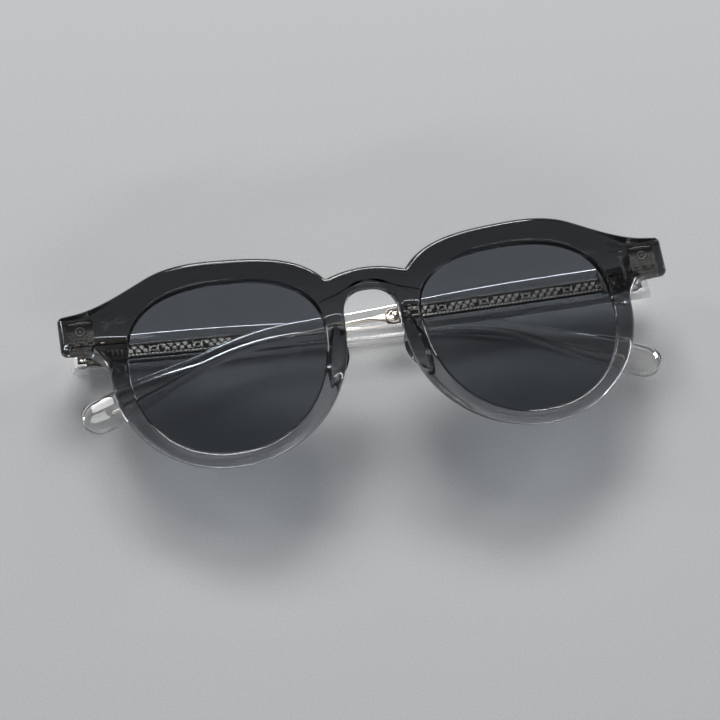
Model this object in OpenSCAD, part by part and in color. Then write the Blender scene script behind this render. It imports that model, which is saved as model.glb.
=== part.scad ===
// Round acetate sunglasses, folded, lying on the flat outer face of the left temple.
// The front is drawn face up in its own frame: X across, Y towards the brow, Z out of the face.
// Left and right are as the viewer sees the lenses.

/* [Lens opening] */
// Width of each lens opening
eye_w = 45.4; // [42:0.2:48]
// Height of the opening above its widest level
eye_up = 16.6; // [14:0.1:18]
// Height of the opening below its widest level
eye_down = 25.7; // [23:0.1:27]
// Widest level of the opening above the middle of the front
eye_level = 4.6; // [3:0.1:6]
// Squareness of the upper half, where 2 is an ellipse
eye_square_up = 2.6; // [2:0.05:3]
// Squareness of the lower half
eye_square_down = 2.13; // [2:0.01:2.4]
// Tilt of the opening, outer end up
eye_tilt = 4.5; // [0:0.5:8]
// Gap between the two openings across the nose
nose_w = 23; // [21:0.2:26]

/* [Rim] */
// Width of the rim at each side
rim_side = 4.7; // [4:0.1:6]
// Width of the rim at the brow
rim_brow = 5.6; // [4.5:0.1:6.5]
// Drop of the rim's widest level below that of the opening
rim_drop = 1; // [0.6:0.1:1.4]
// Width of the rim under the lens
rim_low = 2.8; // [2.6:0.1:4]
// Squareness of the brow line
rim_square_up = 2.9; // [2.4:0.05:3.2]
// Tilt of the rim, outer end up
rim_tilt = 7; // [4:0.5:9]
// Thickness of the rims and the bridge
front_t = 4.2; // [3.8:0.1:5]
// Radius of the sheet that the front is pressed to
front_curve = 300; // [250:5:500]
// Rounding of the rim's front outer edge
edge_front = 1; // [0.8:0.1:1.6]
// Rounding of the rim's back outer edge
edge_back = 1.1; // [0.6:0.1:1.4]
// Bevel at the mouth of each opening
mouth_bevel = 0.6; // [0.3:0.05:0.9]

/* [Bridge] */
// Height of the bridge's top above the middle of the front
bridge_top = 19.4; // [18.4:0.1:20.2]
// Height of the bridge at the centre line
bridge_h = 4.9; // [4:0.1:6]

/* [Endpieces] */
// Half of the overall width of the front
end_x = 72.1; // [71:0.1:73]
// Top of the endpieces above the middle of the front
end_top = 20.7; // [20:0.1:21.2]
// Height of the endpieces
end_h = 9.7; // [9.2:0.1:10.2]
// Radius of the endpieces' outer corners
end_r = 1.3; // [1:0.1:1.6]
// Start of the deep block behind each endpiece, inboard of its end
block_in = 15; // [14:0.5:17]
// Full depth of that block, inboard of the end
block_full = 6; // [5:0.5:7]

/* [Lenses] */
// Thickness of the lenses
lens_t = 2; // [1.8:0.1:2.2]
// Depth of the lens groove in the rim
groove_d = 0.9; // [0.6:0.05:1.1]
// Depth of the lens front behind the front face
lens_set = 1; // [0.9:0.05:1.2]
// Clearance round the lens in its groove
lens_gap = 0.08; // [0.05:0.01:0.12]

/* [Nose pads] */
// Length of the built-up nose pads
pad_l = 14; // [11:0.5:15]
// Height of the nose pads behind the rim
pad_h = 3.6; // [3:0.1:4.5]
// Radius of the nose pads' rounding
pad_r = 2.2; // [1.8:0.1:2.4]

/* [Hinges] */
// Hinge axis to the centre line
hinge_x = 65.3; // [65:0.1:65.6]
// Depth of the hinge axis behind the middle of the front face
hinge_depth = 17.2; // [17:0.1:17.6]
// Drop of the hinge's middle below that of the endpiece
hinge_drop = 0.45; // [0.3:0.05:0.6]
// Outer radius of the hinge barrels
barrel_r = 1.45; // [1.3:0.05:1.5]
// Radius of the hinge screw
screw_r = 0.7; // [0.6:0.05:0.8]
// Running clearance round the screw
screw_fit = 0.05; // [0.02:0.01:0.08]
// Height of one of the five barrels
barrel_h = 1.6; // [1.4:0.05:1.65]
// Running gap between two barrels
barrel_gap = 0.06; // [0.04:0.01:0.1]
// Thickness of the hinge leaves
leaf_t = 1; // [0.8:0.05:1.1]
// Height of the leaf sunk into the front
plate_h = 7.2; // [6.6:0.1:7.4]
// Height of the leaf sunk into the temple
leaf_h = 6.4; // [5.8:0.1:6.6]
// Length of the leaf sunk into the temple, behind the axis
leaf_l = 7.6; // [6:0.2:9]
// Clearance round the sunk leaves
seat_gap = 0.04; // [0.02:0.01:0.08]

/* [Temples] */
// Thickness of the temples at the hinge
temple_t = 4.2; // [3.8:0.1:4.3]
// Thickness of the temples at the waist and the tip
tail_t = 3.5; // [3.2:0.1:3.8]
// Height of the temples at the hinge
temple_h = 8.3; // [7.5:0.1:8.6]
// Height of the temples at the waist
waist_h = 3.7; // [3.4:0.1:4.4]
// Height of the rounded tips
tip_h = 8.7; // [8:0.1:9.2]
// Start of the temples' taper, from the hinge axis
taper_l = 22; // [16:1:30]
// Straight length from the hinge axis to the ear bend
shank_l = 82; // [79:0.5:85]
// Radius of the ear bend
bend_r = 60; // [50:1:75]
// Angle of the ear bend
bend_angle = 21; // [18:0.5:24]
// Straight length from the ear bend to the tip's round end
tail_l = 29.5; // [27:0.5:31]
// Distance from the hinge axis to the temple's inner face
temple_set = 1.8; // [1.7:0.05:2.1]
// Length of the mitred butt in front of the axis, on the inner side
butt_in = 4; // [3.9:0.1:4.3]
// Length of the mitred butt in front of the axis, on the outer side
butt_out = 4.9; // [4.7:0.1:5.2]
// Clearance of the mitre when a temple is open
butt_gap = 0.15; // [0.1:0.05:0.3]

/* [Core wires] */
// Height of the ornamented plate inside each temple
core_h = 3; // [2.6:0.1:3.2]
// Thickness of the plate
core_t = 0.9; // [0.7:0.05:1]
// End of the plate, from the hinge axis
core_l = 66; // [60:1:70]
// Radius of the round wire beyond the plate
wire_r = 0.55; // [0.45:0.05:0.6]
// Pitch of the beaded border
bead = 0.95; // [0.8:0.05:1.2]
// Clearance round the core in the temple
core_gap = 0.04; // [0.02:0.01:0.08]

/* [Folding] */
// Tilt of the front against the temples, brow up when folded
panto = 7; // [5:0.5:9]
// Cant of the hinge axes towards each other at the top
cant = 2; // [1:0.5:3]
// Angle left between the front and the left temple, folded last
left_fold = 2; // [2:0.1:3]
// Angle by which the right temple, folded first, passes the front's line
right_fold = 2.1; // [2.1:0.1:3]

/* [Hidden] */

eye_c = [(nose_w + eye_w) / 2, eye_level];
rim_c = [eye_c[0], eye_level - rim_drop];
end_bottom = end_top - end_h;
notch_t = 150.5;
brow_t = 54;
join_t = 1;
nose_t = -186;
hinge_y = end_top - end_h / 2 - hinge_drop;
hinge_at = [hinge_x, hinge_y, -hinge_depth];
temple_out = temple_set + temple_t;
hinge_h = 5 * barrel_h;

// Curves of the front, in its plane

function super_r(t, a, up, down, n_up, n_down) =
    let (n = sin(t) >= 0 ? n_up : n_down, b = sin(t) >= 0 ? up : down)
    pow(pow(abs(cos(t)) / a, n) + pow(abs(sin(t)) / b, n), -1 / n);

function eye_point(t, out = 0) =
    eye_c + (super_r(t - eye_tilt, eye_w / 2, eye_up, eye_down, eye_square_up, eye_square_down)
    + out) * [cos(t), sin(t)];

function rim_point(t) =
    rim_c + super_r(t - rim_tilt, eye_w / 2 + rim_side, eye_up + rim_drop + rim_brow,
        eye_down - rim_drop + rim_low, rim_square_up, 2) * [cos(t), sin(t)];

function bezier(p, u) =
    pow(1 - u, 3) * p[0] + 3 * u * pow(1 - u, 2) * p[1] + 3 * u * u * (1 - u) * p[2]
    + pow(u, 3) * p[3];

function unit(v) = v / norm(v);
function ramp(x, a, b) = let (u = max(0, min(1, (x - a) / (b - a)))) u * u * (3 - 2 * u);
function mix(a, b, u) = a + (b - a) * u;
function eye_angle(p, near) =
    let (a = atan2(p[1] - eye_c[1], p[0] - eye_c[0])) a + 360 * round((near - a) / 360);

// Outer outline of the right half, clockwise from the nose side of the bridge's arch

notch = rim_point(notch_t);
nose = rim_point(nose_t);
arch_top = bridge_top - bridge_h;
arch = [for (a = [15 : 15 : 90])
    [nose[0] * pow(cos(a), 0.85), nose[1] + (arch_top - nose[1]) * pow(sin(a), 0.85)]];
seam = [for (u = [0.48, 0.52]) [0, mix(arch_top, bridge_top, u)]];
// The front's rounding, within the bridge and the thinnest part of the rim
front_edge = min(edge_front, 0.47 * bridge_h, rim_low - mouth_bevel - 0.1);
back_edge = min(edge_back, 0.47 * bridge_h, rim_low - mouth_bevel - 0.1);
crown = [for (u = [0 : 0.2 : 0.8])
    [u * notch[0], mix(bridge_top, notch[1], u * u)]];
brow_rim = [for (k = [0 : 20]) rim_point(mix(notch_t, brow_t, k / 20))];
brow_dir = unit(rim_point(brow_t - 1) - rim_point(brow_t + 1));
brow_end = [end_x - 0.47 * end_h, end_top];
brow = [for (k = [1 : 8])
    bezier([rim_point(brow_t), rim_point(brow_t) + 0.57 * end_h * brow_dir,
        brow_end + end_h * [-0.62, 0.03], brow_end], k / 8)];
corner_top = [for (a = [80 : -20 : 0])
    [end_x - end_r, end_top - end_r] + end_r * [cos(a), sin(a)]];
corner_low = [for (a = [0 : -20 : -80])
    [end_x - end_r, end_bottom + end_r] + end_r * [cos(a), sin(a)]];
join_dir = unit(rim_point(join_t + 1) - rim_point(join_t - 1));
under_end = [end_x - 0.47 * end_h, end_bottom];
under = [for (k = [0 : 5])
    bezier([under_end, under_end - [0.27 * end_h, 0], rim_point(join_t) + 0.35 * end_h * join_dir,
        rim_point(join_t)], k / 6)];
end_loop = concat(brow, corner_top, corner_low, under);
low_rim = [for (k = [0 : 42]) rim_point(mix(join_t, nose_t, k / 42))];
outline = concat(arch, seam, crown, brow_rim, end_loop, low_rim);
N = len(outline);
bridge_n = len(arch) + len(seam) + len(crown);
seam_first = len(arch) - 1;
seam_last = len(arch) + len(seam);
end_first = bridge_n + len(brow_rim);
end_last = end_first + len(end_loop);

// Angle of the opening's point that each outline point is joined to
top_angle = eye_angle(notch, 150);
nose_angle = eye_angle(nose, -186);
brow_angle = eye_angle(brow_rim[20], 50);
join_angle = eye_angle(low_rim[0], 0);
mouth_angle = [for (i = [0 : N - 1])
    i < bridge_n ? mix(nose_angle + 360, top_angle, (i + 1) / (bridge_n + 1)) :
    i < end_first ? eye_angle(outline[i], 100) :
    i < end_last ? mix(brow_angle, join_angle, (i - end_first + 1) / (len(end_loop) + 1)) :
    eye_angle(outline[i], mix(0, -180, (i - end_last) / 42))];

function sag(x) = sqrt(front_curve * front_curve - x * x) - front_curve;
function normal_at(i) =
    i >= seam_first && i <= seam_last ? (i == seam_first ? [0, -1] : i == seam_last ? [0, 1] : [0, 0]) :
    let (d = outline[(i + 1) % N] - outline[(i + N - 1) % N]) unit([-d[1], d[0]]);

// Rear faces of the endpieces: the plane that the open temple's mitre meets
mitre_slope = (butt_out - butt_in) / temple_t;
function rear(p) =
    let (x = p[0] - hinge_x, y = p[1] - hinge_y, across = x * cos(cant) + y * sin(cant))
    hinge_depth + y * tan(panto)
    - (butt_in + butt_gap + mitre_slope * (across - temple_set)) / cos(panto);
function end_share(i) =
    i < end_first || i >= end_last ? 0 : ramp(outline[i][0], end_x - block_in, end_x - block_full);

// Section of the front at outline point i: [X, Y, depth behind the front surface]
function mouth_row(i, out, depth) = let (p = eye_point(mouth_angle[i], out)) [p[0], p[1], depth];
function edge_row(i, inset, depth) =
    let (p = outline[i] - inset * normal_at(i)) [p[0], p[1], depth];
function back_depth(i, p) = mix(front_t, rear(p) + sag(p[0]), end_share(i));
function section(i) =
    let (m = eye_point(mouth_angle[i]), b = back_depth(i, outline[i]),
        mid = mix(m, outline[i] - back_edge * normal_at(i), 0.6))
    concat(
        [mouth_row(i, mouth_bevel, 0),
         mouth_row(i, 0, mouth_bevel),
         mouth_row(i, 0, lens_set - lens_gap),
         mouth_row(i, groove_d, lens_set - lens_gap),
         mouth_row(i, groove_d, lens_set + lens_t + lens_gap),
         mouth_row(i, 0, lens_set + lens_t + lens_gap),
         mouth_row(i, 0, front_t - mouth_bevel),
         mouth_row(i, mouth_bevel, front_t),
         [mid[0], mid[1], back_depth(i, mid)]],
        [for (a = [90 : -45 : 0])
            edge_row(i, back_edge * (1 - cos(a)), b - back_edge * (1 - sin(a)))],
        [for (a = [0 : 22.5 : 90])
            edge_row(i, front_edge * (1 - cos(a)), front_edge * (1 - sin(a)))]
    );
M = len(section(0));
edge_first = 9;

function on_curve(p) = [p[0], p[1], sag(p[0]) - p[2]];
half_points = [for (i = [0 : N - 1]) for (p = section(i)) on_curve(p)];
half_faces = [for (i = [0 : N - 1]) for (j = [0 : M - 1])
    if (!(i >= seam_first && i < seam_last && j >= edge_first && j < M - 1))
    let (k = (i + 1) % N, l = (j + 1) % M)
    for (f = [[i * M + j, k * M + l, i * M + l], [i * M + j, k * M + j, k * M + l]]) f];

module front_blank() {
    n = len(half_points);
    polyhedron(
        points = concat(half_points, [for (p = half_points) [-p[0], p[1], p[2]]]),
        faces = concat(half_faces, [for (f = half_faces) [f[0] + n, f[2] + n, f[1] + n]]),
        convexity = 8
    );
}

// Hinges and temples, in a frame with its origin on the hinge axis:
// X outboard, Y along the axis, Z out of the face. A folded temple runs along -X.

// The front's leaf reaches this far inboard and outboard of the axis
plate_in = barrel_r + 0.15;
plate_out = 4.6;
// Its rear face, just inside the endpiece's rear face
plate_z = butt_in + butt_gap + mitre_slope * (plate_out - temple_set) + 0.05;
// The temple's leaf ends this far in front of the axis
leaf_end = 1.2;
arm_w = 2 * barrel_r - 0.5;
head_r = screw_r + 0.4;
head_h = 0.6;
slot_w = 0.3;
slot_d = 0.25;
// The screw's ends lie this far inside the outer barrels
screw_in = 0.08;

// Turns the axis upright, so that barrels and screw are drawn along Z
module along_axis() {
    rotate([-90, 0, 0]) children();
}

// One of the five barrels, with the arm that joins it to a leaf of the given height
module barrel(row, reach, leaf) {
    middle = (row - 2) * barrel_h;
    h = barrel_h - barrel_gap;
    low = max(middle - h / 2, -leaf / 2);
    high = min(middle + h / 2, leaf / 2);
    translate([0, 0, middle]) cylinder(r = barrel_r, h = h, center = true, $fn = 48);
    translate([-arm_w / 2, min(0, reach), low]) cube([arm_w, abs(reach), high - low]);
}

module screw_bore() {
    cylinder(r = screw_r + screw_fit, h = 1.5 * hinge_h, center = true, $fn = 48);
}

// The sunk leaf of the front, or its seat when gap and depth are given
module front_plate(gap = 0, depth = 0) {
    translate([-plate_in - gap, -plate_h / 2 - gap, plate_z - depth])
        cube([plate_in + plate_out + 2 * gap, plate_h + 2 * gap, leaf_t + gap + depth]);
}

module front_leaf() {
    color([0.72, 0.7, 0.66])
        difference() {
            union() {
                front_plate();
                along_axis()
                    for (row = [0, 2, 4]) barrel(row, -plate_z - leaf_t / 2, plate_h);
            }
            along_axis() {
                screw_bore();
                translate([0, 0, hinge_h / 2 - head_h])
                    cylinder(r = head_r + screw_fit, h = head_h + 1, $fn = 48);
            }
        }
}

module hinge_screw() {
    top = hinge_h / 2 - screw_in;
    under_head = hinge_h / 2 - head_h + screw_fit;
    color([0.8, 0.78, 0.74])
        along_axis()
            difference() {
                union() {
                    translate([0, 0, -top])
                        cylinder(r = screw_r, h = top + under_head, $fn = 48);
                    translate([0, 0, under_head])
                        cylinder(r = head_r, h = top - under_head, $fn = 48);
                }
                translate([-head_r, -slot_w / 2, top - slot_d])
                    cube([2 * head_r, slot_w, 2 * slot_d]);
            }
}

// The sunk leaf of a temple, or its seat when a gap is given
module leaf_plate(gap = 0) {
    translate([-leaf_l - gap, -leaf_h / 2 - gap, -temple_set - leaf_t - gap])
        cube([leaf_l + leaf_end + 2 * gap, leaf_h + 2 * gap, leaf_t + gap]);
}

module temple_leaf() {
    color([0.72, 0.7, 0.66])
        difference() {
            union() {
                leaf_plate();
                along_axis()
                    for (row = [1, 3]) barrel(row, temple_set + leaf_t / 2, leaf_h);
            }
            along_axis() screw_bore();
        }
}

// Temple: rings of a rounded rectangle along the shank, the ear bend and the tail

edge_temple = 1.15;
bend_l = bend_r * bend_angle * PI / 180;
waist_s = shank_l + 0.95 * bend_l;
tip_s = shank_l + bend_l + tail_l;
tip_r = tip_h / 2;

function path(s) =
    let (a = max(0, min(bend_angle, (s - shank_l) / bend_r * 180 / PI)),
        run = min(s, shank_l), rest = max(0, s - shank_l - bend_l))
    [-run - bend_r * sin(a) - rest * cos(a), -bend_r * (1 - cos(a)) - rest * sin(a), a];
function temple_height(s) =
    mix(mix(temple_h, waist_h, ramp(s, taper_l, waist_s)), tip_h,
        ramp(s, waist_s, tip_s - 0.35 * tip_h));
function thick(s) = mix(temple_t, tail_t, ramp(s, 0.7 * taper_l, shank_l));
corner_angles = [0, 30, 60, 90];
function round_rect(h, t, r, lift) =
    [for (q = [0 : 3]) for (a = corner_angles)
        let (b = a + 90 * q, sy = q == 0 || q == 3 ? 1 : -1, sz = q < 2 ? 1 : -1)
        [sy * (h / 2 - r) + r * cos(b), t / 2 + sz * (t / 2 - r) + r * sin(b) + lift]];
// Ring at distance s, with its height scaled by k and its faces drawn in by e
function ring(s, k, e) =
    let (p = path(s), h = temple_height(min(s, tip_s)) * k, t = thick(s) - 2 * e,
        r = min(edge_temple, 0.49 * t, 0.49 * h))
    [for (v = round_rect(h, t, r, e))
        let (z = -temple_out + v[1])
        [p[0] - v[0] * sin(p[2]), p[1] + v[0] * cos(p[2]), z]];
function butt_ring() =
    [for (v = ring(0, 1, 0))
        [butt_in - (v[2] + temple_set) * mitre_slope, v[1], v[2]]];
temple_rings = concat(
    [butt_ring()],
    [for (s = [0, 0.5 * taper_l]) ring(s, 1, 0)],
    [for (k = [0 : 8]) ring(mix(taper_l, shank_l, k / 8), 1, 0)],
    [for (k = [1 : 7]) ring(shank_l + bend_l * k / 7, 1, 0)],
    [for (k = [1 : 9]) ring(mix(shank_l + bend_l, tip_s, k / 9), 1, 0)],
    [for (a = [15 : 15 : 75])
        ring(tip_s + tip_r * sin(a), cos(a), edge_temple * (1 - cos(a)))],
    [ring(tip_s + tip_r * 0.997, 0.08, edge_temple * 0.95)]
);

// Faces of a closed tube of n rings with m points each
function tube_faces(m, n) = concat(
    [[for (j = [m - 1 : -1 : 0]) j], [for (j = [0 : m - 1]) (n - 1) * m + j]],
    [for (i = [0 : n - 2]) for (j = [0 : m - 1])
        let (k = (j + 1) % m, a = i * m + j, b = i * m + k, c = b + m, d = a + m)
        for (f = [[a, b, c], [a, c, d]]) f]
);

module temple_blank() {
    polyhedron(
        points = [for (r = temple_rings) for (p = r) p],
        faces = tube_faces(len(temple_rings[0]), len(temple_rings)),
        convexity = 6
    );
}

// Core wire: an ornamented plate that ends in a point, drawn out into a round wire

core_z = -temple_out + (temple_t + tail_t) / 4;
core_head = butt_in - 0.8;
point_l = 4.5;
bead_d = 0.22;
wire_end = tip_s - 2;
function bead_y(x) = core_h / 2 - bead_d * (1 - abs(sin(180 * x / bead)));

module core_outline() {
    n = floor((core_l - 2 * bead) / bead) * 4;
    polygon(concat(
        [for (k = [0 : n]) let (x = k * bead / 4) [core_head - 2 - x, bead_y(x)]],
        [for (a = [75 : -15 : -75])
            [-core_l + core_h / 2 - core_h / 2 * cos(a), core_h / 2 * sin(a)]],
        [for (k = [n : -1 : 0]) let (x = k * bead / 4) [core_head - 2 - x, -bead_y(x)]],
        [[core_head, -core_h / 2], [core_head, core_h / 2]]
    ));
}

module core_point(gap) {
    polygon([
        [-core_l + 1, core_h / 2 - 0.6 + gap], [-core_l - point_l, wire_r + gap],
        [-core_l - point_l, -wire_r - gap], [-core_l + 1, -core_h / 2 + 0.6 - gap]
    ]);
}

// The round wire, as a tube of 12 sides along the temple's path
module core_run(gap) {
    r = wire_r + gap;
    m = 12;
    stations = concat(
        [core_l + point_l - 1],
        [for (k = [0 : 8]) shank_l + bend_l * k / 8],
        [wire_end + gap]
    );
    n = len(stations);
    polyhedron(
        points = [for (s = stations) for (j = [0 : m - 1])
            let (p = path(s), y = r * cos(360 * (j + 0.5) / m), z = r * sin(360 * (j + 0.5) / m))
            [p[0] - y * sin(p[2]), p[1] + y * cos(p[2]), z]],
        faces = tube_faces(m, n),
        convexity = 4
    );
}

module core_wire() {
    color([0.62, 0.6, 0.58])
        translate([0, 0, core_z]) {
            translate([0, 0, -core_t / 2])
                linear_extrude(height = core_t) {
                    core_outline();
                    core_point(0);
                }
            core_run(0);
        }
}

module core_channel() {
    r = core_h / 2 + core_gap;
    t = core_t + 2 * core_gap;
    translate([0, 0, core_z]) {
        translate([0, 0, -t / 2])
            linear_extrude(height = t) {
                polygon(concat(
                    [for (a = [75 : -15 : -75])
                        [-core_l + core_h / 2 - r * cos(a), r * sin(a)]],
                    [[-core_l + core_h / 2, -r], [core_head + core_gap, -r],
                     [core_head + core_gap, r], [-core_l + core_h / 2, r]]
                ));
                core_point(core_gap);
            }
        core_run(core_gap);
    }
}

module temple() {
    color([0.8, 0.8, 0.8, 0.45])
        difference() {
            temple_blank();
            leaf_plate(seat_gap);
            core_channel();
        }
}

// Lens and nose pad of the right side

module curved_sheet(depth) {
    translate([0, 0, -front_curve - depth])
        rotate([90, 0, 0])
            cylinder(r = front_curve, h = 3 * (eye_up + eye_down), center = true, $fn = 1440);
}

module lens() {
    reach = lens_set + lens_t - sag(2 * eye_w);
    color([0.3, 0.32, 0.34, 0.6])
        intersection() {
            translate([0, 0, -reach])
                linear_extrude(height = reach)
                    polygon([for (k = [0 : 89]) eye_point(4 * k, groove_d - lens_gap)]);
            difference() {
                curved_sheet(lens_set);
                curved_sheet(lens_set + lens_t);
            }
        }
}

// The pad's base lies this far behind the rim's back
pad_seat = 0.06;

// Three balls along the rim, hulled and cut flat on the back of the rim
module nose_pad() {
    seat = front_t - sag(eye_c[0] - eye_w / 2) + pad_seat;
    half_turn = asin((pad_l / 2 - 0.5 * pad_r) / (eye_w / 2 + rim_side));
    color([0.75, 0.75, 0.76, 0.5])
        intersection() {
            hull()
                for (k = [-1 : 1]) {
                    p = rim_point(190 + k * half_turn) + pad_r * [0.86 + 0.14 * abs(k), 0];
                    translate([p[0], p[1], -seat - pad_h + pad_r])
                        sphere(r = pad_r * (1.18 - 0.18 * abs(k)), $fn = 28);
                }
            translate([0, -eye_w, -seat - eye_w]) cube([eye_w, 2 * eye_w, eye_w]);
        }
}

// Places in the front's frame

module both_sides(right) {
    if (right) children();
    else mirror([1, 0, 0]) children();
}

module at_hinge() {
    translate(hinge_at) rotate([-panto, 0, 0]) rotate([0, 0, cant]) children();
}

module front() {
    color([0.25, 0.26, 0.27, 0.8])
        difference() {
            front_blank();
            for (right = [true, false])
                both_sides(right) at_hinge() front_plate(seat_gap, plate_z);
        }
}

// Places on the table: the left temple's outer face lies flat, the front leans over it

rest_at = [hinge_x, hinge_x * tan(cant), temple_out];

module place_front() {
    mirror([1, 0, 0])
        translate(rest_at)
            rotate([0, 0, cant]) rotate([0, left_fold, 0]) rotate([0, 0, -cant])
                rotate([panto, 0, 0]) translate(-hinge_at)
                    mirror([1, 0, 0]) children();
}

module place_left_temple() {
    mirror([1, 0, 0]) translate(rest_at) rotate([0, 0, cant]) children();
}

module place_right_temple() {
    place_front() at_hinge() rotate([0, right_fold, 0]) children();
}

place_front() front();
place_front() both_sides(false) lens();  // lens_left
place_front() both_sides(true) lens();  // lens_right
place_front() both_sides(false) nose_pad();  // nose_pad_left
place_front() both_sides(true) nose_pad();  // nose_pad_right
place_front() both_sides(false) at_hinge() front_leaf();  // front_leaf_left
place_front() both_sides(true) at_hinge() front_leaf();  // front_leaf_right
place_front() both_sides(false) at_hinge() hinge_screw();  // hinge_screw_left
place_front() both_sides(true) at_hinge() hinge_screw();  // hinge_screw_right
place_left_temple() temple_leaf();  // temple_leaf_left
place_right_temple() temple_leaf();  // temple_leaf_right
place_left_temple() temple();  // temple_left
place_right_temple() temple();  // temple_right
place_left_temple() core_wire();  // core_wire_left
place_right_temple() core_wire();  // core_wire_right
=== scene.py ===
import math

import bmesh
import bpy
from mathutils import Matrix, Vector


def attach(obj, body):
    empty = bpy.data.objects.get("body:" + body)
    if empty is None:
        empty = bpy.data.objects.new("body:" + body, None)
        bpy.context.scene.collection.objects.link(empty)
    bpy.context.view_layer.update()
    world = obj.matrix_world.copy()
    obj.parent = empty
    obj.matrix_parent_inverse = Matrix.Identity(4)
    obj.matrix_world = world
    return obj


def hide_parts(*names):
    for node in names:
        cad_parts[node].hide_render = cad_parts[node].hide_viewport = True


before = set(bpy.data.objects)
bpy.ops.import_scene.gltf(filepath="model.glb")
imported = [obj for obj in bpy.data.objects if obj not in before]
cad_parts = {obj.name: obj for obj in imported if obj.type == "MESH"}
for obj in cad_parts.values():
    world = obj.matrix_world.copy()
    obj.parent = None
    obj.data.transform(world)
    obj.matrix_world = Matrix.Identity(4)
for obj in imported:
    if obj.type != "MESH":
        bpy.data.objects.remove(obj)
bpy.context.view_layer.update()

# %% [markdown]
# # Round acetate sunglasses, folded
#
# The frame is a front cut from a sheet of cellulose acetate, two tinted lenses sprung into grooves,
# and two clear temples with an ornamented metal core, held by five-barrel hinges. The CAD gives
# every piece its place. Here each piece gets the smooth shape and the finish that the eye sees.
# Lengths are written in millimetres, as on a frame maker's drawing.

MM = 0.001


def linear(hex_colour):
    """An sRGB hex colour as the linear RGBA that Blender's sockets take."""
    values = [int(hex_colour[i:i + 2], 16) / 255 for i in (1, 3, 5)]
    values = [v / 12.92 if v <= 0.04045 else ((v + 0.055) / 1.055) ** 2.4 for v in values]
    return tuple(values + [1.0])


def mix(a, b, u):
    return a + (b - a) * u


def ramp(x, a, b):
    """0 before a, 1 after b, and a smooth S between them."""
    u = max(0.0, min(1.0, (x - a) / (b - a)))
    return u * u * (3 - 2 * u)


# %% [markdown]
# ## Camera and light
#
# The photograph was taken from above the lower edge of the folded glasses with a long lens. The
# camera was fitted to the front's outline, so it is written in the front's own frame, and the
# front's place on the table turns it into the scene.

# %% The places of the front and the temples
HINGE = Vector((65.3, 15.4, -17.2))  # the right hinge's axis, from the middle of the front
PANTO, CANT = 7.0, 2.0  # degrees that the temples tilt down and turn in
LEFT_FOLD, RIGHT_FOLD = 2.0, 2.1  # degrees that each folded temple stands off the front
TEMPLE_SET, TEMPLE_T = 1.8, 4.2  # the hinge axis to the temple's inner face, and its thickness
TEMPLE_OUT = TEMPLE_SET + TEMPLE_T
MIRROR = Matrix.Scale(-1, 4, (1, 0, 0))


def turn(axis, degrees):
    return Matrix.Rotation(math.radians(degrees), 4, axis)


REST = Matrix.Translation((HINGE.x, HINGE.x * math.tan(math.radians(CANT)), TEMPLE_OUT))
AT_HINGE = Matrix.Translation(HINGE) @ turn("X", -PANTO) @ turn("Z", CANT)
PLACE_FRONT = (MIRROR @ REST @ turn("Z", CANT) @ turn("Y", LEFT_FOLD) @ turn("Z", -CANT)
               @ turn("X", PANTO) @ Matrix.Translation(-HINGE) @ MIRROR)
PLACE_LEFT = MIRROR @ REST @ turn("Z", CANT)
PLACE_RIGHT = PLACE_FRONT @ AT_HINGE @ turn("Y", RIGHT_FOLD)
print("front's middle in mm:", [round(v, 2) for v in PLACE_FRONT.translation])

# %% The camera
FITTED_EYE = Vector((-63.3, -220.9, 525.3))
FITTED_ACROSS = Vector((0.9853, -0.166, 0.0411))
FITTED_BACK = Vector((-0.1023, -0.3795, 0.9195))
LONG_LENS, FULL_FRAME = 125, 36

eye = PLACE_FRONT @ FITTED_EYE
across = (PLACE_FRONT.to_3x3() @ FITTED_ACROSS).normalized()
back = (PLACE_FRONT.to_3x3() @ FITTED_BACK).normalized()
up = back.cross(across).normalized()
across = up.cross(back)
camera_data = bpy.data.cameras.new("camera")
camera_data.sensor_fit = "HORIZONTAL"
camera_data.sensor_width = FULL_FRAME
camera_data.lens = LONG_LENS
camera_data.clip_start = 0.01
camera = bpy.data.objects.new("camera", camera_data)
bpy.context.scene.collection.objects.link(camera)
turned = Matrix((across, up, back)).transposed().to_4x4()
camera.matrix_world = Matrix.Translation(eye * MM) @ turned
bpy.context.scene.camera = camera
bpy.context.scene.view_settings.view_transform = "Standard"
print("camera distance in mm:", round(eye.length))


# %% [markdown]
# One helper adds a shader node with its settings and its links, so that each material below reads
# as a short list of what happens to its surface.

# %% A node with its settings and links
def add_node(tree, kind, settings=None, **sockets):
    """Adds a node; a socket, by name or as i0, i1, gets a value or another node's output."""
    node = tree.nodes.new(kind)
    for key, value in (settings or {}).items():
        setattr(node, key, value)
    for key, value in sockets.items():
        socket = node.inputs[int(key[1:])] if key[0] == "i" and key[1:].isdigit() \
            else node.inputs[key.replace("_", " ")]
        if isinstance(value, bpy.types.NodeSocket):
            tree.links.new(value, socket)
        else:
            socket.default_value = value
    return node


def new_material(name):
    """An empty node material and its tree."""
    material = bpy.data.materials.new(name)
    material.use_nodes = True
    material.node_tree.nodes.clear()
    return material, material.node_tree


def finish_material(tree, shader):
    output = add_node(tree, "ShaderNodeOutputMaterial")
    tree.links.new(shader.outputs[0], output.inputs["Surface"])


def mm_coordinates(tree):
    """The object's own coordinates, scaled so that 1 is a millimetre."""
    here = add_node(tree, "ShaderNodeTexCoord")
    scaled = add_node(tree, "ShaderNodeVectorMath", {"operation": "SCALE"},
                      Vector=here.outputs["Object"], Scale=1 / MM)
    return scaled.outputs[0]


print("shader units to a metre:", round(1 / MM))

# %% [markdown]
# The table is a pale grey board with a fine tooth. It keeps the shadow of the glasses, and being
# plain it lets the clear acetate show where it bends the light.

# %% The board's material
NOISE_MIDDLE = (0.3, 0.7)  # most values of a noise lie between these


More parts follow.
